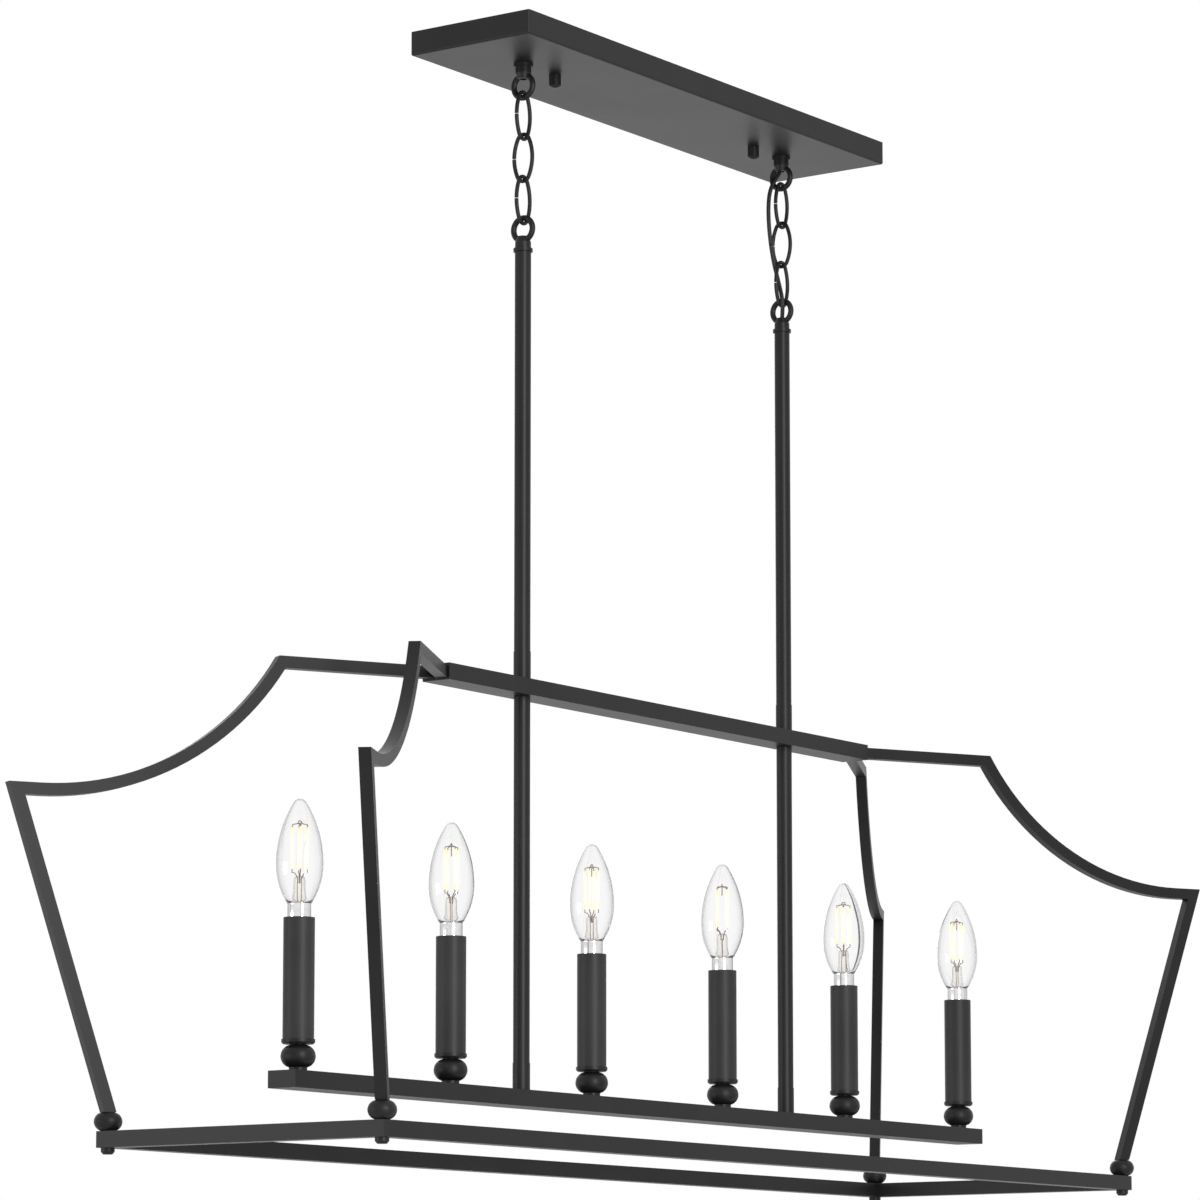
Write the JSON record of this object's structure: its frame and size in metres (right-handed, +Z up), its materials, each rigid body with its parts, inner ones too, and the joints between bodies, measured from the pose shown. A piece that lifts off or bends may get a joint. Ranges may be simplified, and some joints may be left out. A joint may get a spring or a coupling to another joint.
{
  "type": "linear island pendant",
  "caption": "Long open-frame island pendant hung by two chains and stems from a rectangular canopy, with candle lamps on a central bar.",
  "frame": {"origin": "middle of the canopy's top, on the ceiling plane, between the two box screws", "axes": "+X along the fixture's length, +Y across it, +Z up to the ceiling"},
  "size_m": [1.1754, 0.3348, 0.8794],
  "materials": {
    "black_paint": "matte",
    "zinc": "satin",
    "socket_plastic": "matte",
    "lamp_glass": "clear",
    "lamp_cap": "polished",
    "lamp_filament": "glowing",
    "cord_sheath": "satin"
  },
  "bodies": {
    "canopy": {"canopy": "black_paint", "mounting_strap": "zinc", "mounting_studs": "zinc", "canopy_loop_left": "black_paint", "canopy_loop_right": "black_paint", "loop_nuts": "zinc", "supply_cord": "cord_sheath"},
    "cap_nut_left": {"cap_nut_left": "black_paint"},
    "cap_nut_right": {"cap_nut_right": "black_paint"},
    "left_link_1": {"left_link_1": "black_paint"},
    "left_link_2": {"left_link_2": "black_paint"},
    "left_link_3": {"left_link_3": "black_paint"},
    "right_link_1": {"right_link_1": "black_paint"},
    "right_link_2": {"right_link_2": "black_paint"},
    "right_link_3": {"right_link_3": "black_paint"},
    "fixture": {"stem_loop_left": "black_paint", "stem_loop_right": "black_paint", "upper_stem_left": "black_paint", "upper_stem_right": "black_paint", "middle_stem_left": "black_paint", "middle_stem_right": "black_paint", "stem_couplers": "black_paint", "stem_nipples": "zinc", "ridge_bar": "black_paint", "candle_bar": "black_paint", "arm_left_front": "black_paint", "arm_left_back": "black_paint", "arm_right_front": "black_paint", "arm_right_back": "black_paint", "corner_beads": "black_paint", "corner_nuts": "black_paint", "bottom_frame": "black_paint", "candle_beads": "black_paint", "candle_cups": "black_paint", "lamp_sockets": "socket_plastic", "candle_nipples": "zinc"},
    "candle_sleeve_1": {"candle_sleeve_1": "black_paint"},
    "bulb_1": {"bulb_base_1": "lamp_cap", "bulb_glass_1": "lamp_glass", "bulb_filament_1": "lamp_filament"},
    "candle_sleeve_2": {"candle_sleeve_2": "black_paint"},
    "bulb_2": {"bulb_base_2": "lamp_cap", "bulb_glass_2": "lamp_glass", "bulb_filament_2": "lamp_filament"},
    "candle_sleeve_3": {"candle_sleeve_3": "black_paint"},
    "bulb_3": {"bulb_base_3": "lamp_cap", "bulb_glass_3": "lamp_glass", "bulb_filament_3": "lamp_filament"},
    "candle_sleeve_4": {"candle_sleeve_4": "black_paint"},
    "bulb_4": {"bulb_base_4": "lamp_cap", "bulb_glass_4": "lamp_glass", "bulb_filament_4": "lamp_filament"},
    "candle_sleeve_5": {"candle_sleeve_5": "black_paint"},
    "bulb_5": {"bulb_base_5": "lamp_cap", "bulb_glass_5": "lamp_glass", "bulb_filament_5": "lamp_filament"},
    "candle_sleeve_6": {"candle_sleeve_6": "black_paint"},
    "bulb_6": {"bulb_base_6": "lamp_cap", "bulb_glass_6": "lamp_glass", "bulb_filament_6": "lamp_filament"}
  },
  "joints": [
    {"name": "right_chain_swing", "type": "hinge", "parent": "canopy", "child": "right_link_1", "pos_m": [0.1825, 0, -0.0418], "axis": [1, 0, 0], "range_deg": [-30, 30], "deforming": ["supply_cord"]},
    {"name": "right_chain_sway", "type": "hinge", "parent": "right_link_1", "child": "right_link_2", "pos_m": [0.1825, 0, -0.0755], "axis": [0, 1, 0], "range_deg": [-30, 30]},
    {"name": "right_chain_level", "type": "hinge", "parent": "right_link_2", "child": "right_link_3", "pos_m": [0.1825, 0, -0.1127], "axis": [0, 1, 0], "range_deg": [-30, 30]},
    {"name": "fixture_swing", "type": "hinge", "parent": "right_link_3", "child": "fixture", "pos_m": [0.1825, 0, -0.1464], "axis": [1, 0, 0], "range_deg": [-25, 25]},
    {"name": "left_chain_swing", "type": "hinge", "parent": "canopy", "child": "left_link_1", "pos_m": [-0.1825, 0, -0.0418], "axis": [1, 0, 0], "range_deg": [-30, 30]},
    {"name": "left_chain_sway", "type": "hinge", "parent": "left_link_1", "child": "left_link_2", "pos_m": [-0.1825, 0, -0.0755], "axis": [0, 1, 0], "range_deg": [-30, 30]},
    {"name": "left_chain_level", "type": "hinge", "parent": "left_link_2", "child": "left_link_3", "pos_m": [-0.1825, 0, -0.1127], "axis": [0, 1, 0], "range_deg": [-30, 30]},
    {"name": "cap_nut_left_turn", "type": "hinge", "parent": "canopy", "child": "cap_nut_left", "pos_m": [-0.1405, 0, -0.019], "axis": [0, 0, 1], "continuous": true},
    {"name": "cap_nut_right_turn", "type": "hinge", "parent": "canopy", "child": "cap_nut_right", "pos_m": [0.1405, 0, -0.019], "axis": [0, 0, 1], "continuous": true},
    {"name": "candle_sleeve_1_lift", "type": "slide", "parent": "fixture", "child": "candle_sleeve_1", "axis": [0, 0, 1], "range_m": [0, 0.01]},
    {"name": "bulb_1_turn", "type": "hinge", "parent": "fixture", "child": "bulb_1", "pos_m": [-0.4525, 0, -0.7], "axis": [0, 0, 1], "continuous": true},
    {"name": "candle_sleeve_2_lift", "type": "slide", "parent": "fixture", "child": "candle_sleeve_2", "axis": [0, 0, 1], "range_m": [0, 0.01]},
    {"name": "bulb_2_turn", "type": "hinge", "parent": "fixture", "child": "bulb_2", "pos_m": [-0.2715, 0, -0.7], "axis": [0, 0, 1], "continuous": true},
    {"name": "candle_sleeve_3_lift", "type": "slide", "parent": "fixture", "child": "candle_sleeve_3", "axis": [0, 0, 1], "range_m": [0, 0.01]},
    {"name": "bulb_3_turn", "type": "hinge", "parent": "fixture", "child": "bulb_3", "pos_m": [-0.0905, 0, -0.7], "axis": [0, 0, 1], "continuous": true},
    {"name": "candle_sleeve_4_lift", "type": "slide", "parent": "fixture", "child": "candle_sleeve_4", "axis": [0, 0, 1], "range_m": [0, 0.01]},
    {"name": "bulb_4_turn", "type": "hinge", "parent": "fixture", "child": "bulb_4", "pos_m": [0.0905, 0, -0.7], "axis": [0, 0, 1], "continuous": true},
    {"name": "candle_sleeve_5_lift", "type": "slide", "parent": "fixture", "child": "candle_sleeve_5", "axis": [0, 0, 1], "range_m": [0, 0.01]},
    {"name": "bulb_5_turn", "type": "hinge", "parent": "fixture", "child": "bulb_5", "pos_m": [0.2715, 0, -0.7], "axis": [0, 0, 1], "continuous": true},
    {"name": "candle_sleeve_6_lift", "type": "slide", "parent": "fixture", "child": "candle_sleeve_6", "axis": [0, 0, 1], "range_m": [0, 0.01]},
    {"name": "bulb_6_turn", "type": "hinge", "parent": "fixture", "child": "bulb_6", "pos_m": [0.4525, 0, -0.7], "axis": [0, 0, 1], "continuous": true}
  ],
  "couplings": [
    {"joint": "right_chain_level", "follows": "right_chain_sway", "ratio": -1},
    {"joint": "left_chain_swing", "follows": "right_chain_swing", "ratio": 1},
    {"joint": "left_chain_sway", "follows": "right_chain_sway", "ratio": 1},
    {"joint": "left_chain_level", "follows": "right_chain_sway", "ratio": -1}
  ]
}
